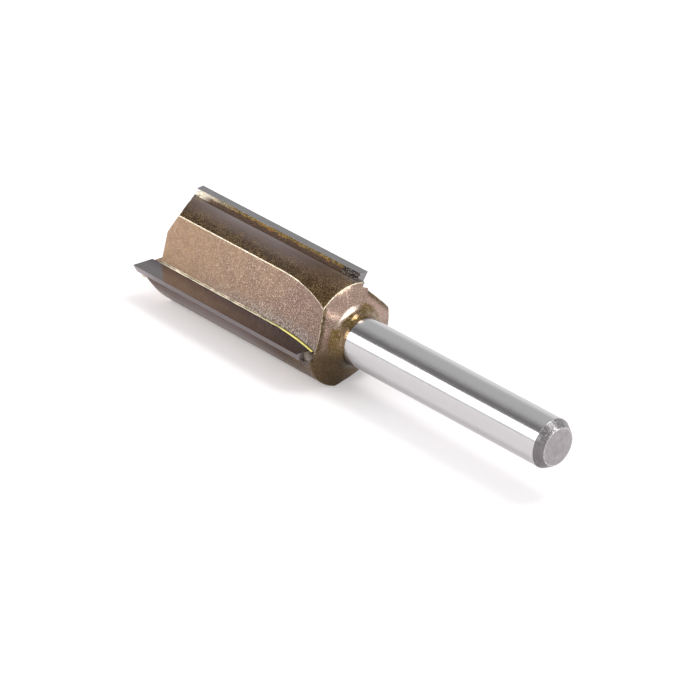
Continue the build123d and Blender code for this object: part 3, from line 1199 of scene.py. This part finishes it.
table = flat_sheet("table", TABLE_HALF, TABLE_HALF)
white_table, tree, surface = empty_material("white_table")
matt = add(tree, "BsdfDiffuse", values=[("Color", (*TABLE_WHITE, 1))])
rays = add(tree, "LightPath")
seen = times(rays.outputs["Is Camera Ray"], TABLE_LIFT)
mirrored = times(rays.outputs["Is Glossy Ray"], TABLE_MIRRORED)
lift = add(tree, "Emission")
join(plus(seen, mirrored), lift.inputs["Strength"])
both = add(tree, "AddShader")
for number, shader_node in enumerate((matt, lift)):
    join(shader_node.outputs[0], both.inputs[number])
join(both.outputs[0], surface)
table.data.materials.append(white_table)
print("the table is", 2 * TABLE_HALF, "m wide")

# %% [markdown]
# ## The room
#
# Metal shows the room more than itself. A plain white room would make every face of the bit the
# same grey, so the room is white a little above the horizon and dims below that and overhead, as a
# studio with pale walls and a high ceiling does. The camera itself sees plain white. The picture
# shows colours as they are written, with no film look.

# %% Room
WALL = 0.95
LOW_WALL = 0.62
CEILING = 0.58
ROOM_TONES = ((0.0, LOW_WALL), (0.13, WALL), (0.30, WALL * 0.9), (0.55, CEILING))

room = bpy.data.worlds.new("studio_room")
scene.world = room
room.use_nodes = True
tree = room.node_tree
background = tree.nodes["Background"]
direction = add(tree, "TexCoord")
height = add(tree, "SeparateXYZ")
join(direction.outputs["Generated"], height.inputs[0])
walls = ramp(height.outputs["Z"], [(rise, (tone,) * 3) for rise, tone in ROOM_TONES])
rays = add(tree, "LightPath")
plain_white = blend(rays.outputs["Is Camera Ray"], walls, (1, 1, 1))
join(plain_white, background.inputs["Color"])
background.inputs["Strength"].default_value = 1.0
scene.view_settings.view_transform = "Standard"
print("the room's tones by height:", ROOM_TONES)

# %% [markdown]
# ## The lamps
#
# Three soft lamps do the rest. A large one, almost straight overhead, gives the shadow under the bit. A
# wide one at the front left lights the gullet floors and lays the long white stripe on the shank. One
# beyond the shank's end puts the bright patch on the round of the neck, over the pale patch painted
# there: matt surfaces don't see it, so it doesn't thin the shadow.

# %% Lamps
def soft_lamp(name, towards, distance, size, radiance):
    """A square or oblong lamp that faces the bit from this direction."""
    data = bpy.data.lights.new(name, "AREA")
    data.shape = "RECTANGLE"
    data.size, data.size_y = size
    data.energy = radiance * pi * size[0] * size[1]
    lamp = bpy.data.objects.new(name, data)
    scene.collection.objects.link(lamp)
    direction = Vector(towards).normalized()
    lamp.location = direction * distance
    lamp.rotation_euler = direction.to_track_quat("Z", "Y").to_euler()
    lamp.visible_camera = False
    print(f"{name}: {data.energy:.2f} W")
    return lamp


soft_lamp("overhead_lamp", towards=(0.12, 0.20, 1.0), distance=1.2, size=(0.5, 0.5), radiance=5.0)
soft_lamp("front_lamp", towards=(-0.613, -0.674, 0.413), distance=0.9, size=(0.9, 0.52), radiance=2.5)
side_lamp = soft_lamp(
    "side_lamp", towards=(0.830, 0.302, 0.469), distance=0.9, size=(0.52, 0.44), radiance=4.2
)
side_lamp.visible_diffuse = False

# %% [markdown]
# ## A dark card
#
# A dark card above the front lamp keeps a dark stripe beside the white one, which is what makes a
# polished round bar look round. Its upper edge fades out, so the stripe has one soft side. The camera
# and matt surfaces don't see the card, and it throws no shadow.

# %% Dark card
CARD_HALF_LENGTH = 0.45
CARD_HALF_WIDTH = 0.17
CARD_GREY = 0.20
CARD_SOFT_EDGE = (-0.038, 0.167)
CARD_TOWARDS = (-0.613, -0.238, 0.754)
CARD_DISTANCE = 0.8

card = flat_sheet("dark_card", CARD_HALF_LENGTH, CARD_HALF_WIDTH)
card_direction = Vector(CARD_TOWARDS).normalized()
card.location = card_direction * CARD_DISTANCE
card.rotation_euler = card_direction.to_track_quat("Z", "Y").to_euler()
card.visible_camera = card.visible_diffuse = card.visible_shadow = False

dark_paper, tree, surface = empty_material("dark_paper")
paper = add(tree, "BsdfDiffuse", values=[("Color", (CARD_GREY,) * 3 + (1,))])
clear = add(tree, "BsdfTransparent")
on_card = add(tree, "TexCoord")
card_place = add(tree, "SeparateXYZ")
join(on_card.outputs["Object"], card_place.inputs[0])
fading = spread(card_place.outputs["Y"], *CARD_SOFT_EDGE, interpolation_type="SMOOTHSTEP")
soft_card = add(tree, "MixShader")
for number, socket in enumerate((fading, paper.outputs[0], clear.outputs[0])):
    join(socket, soft_card.inputs[number])
join(soft_card.outputs[0], surface)
card.data.materials.append(dark_paper)
print("dark card at", [round(c, 2) for c in card.location])
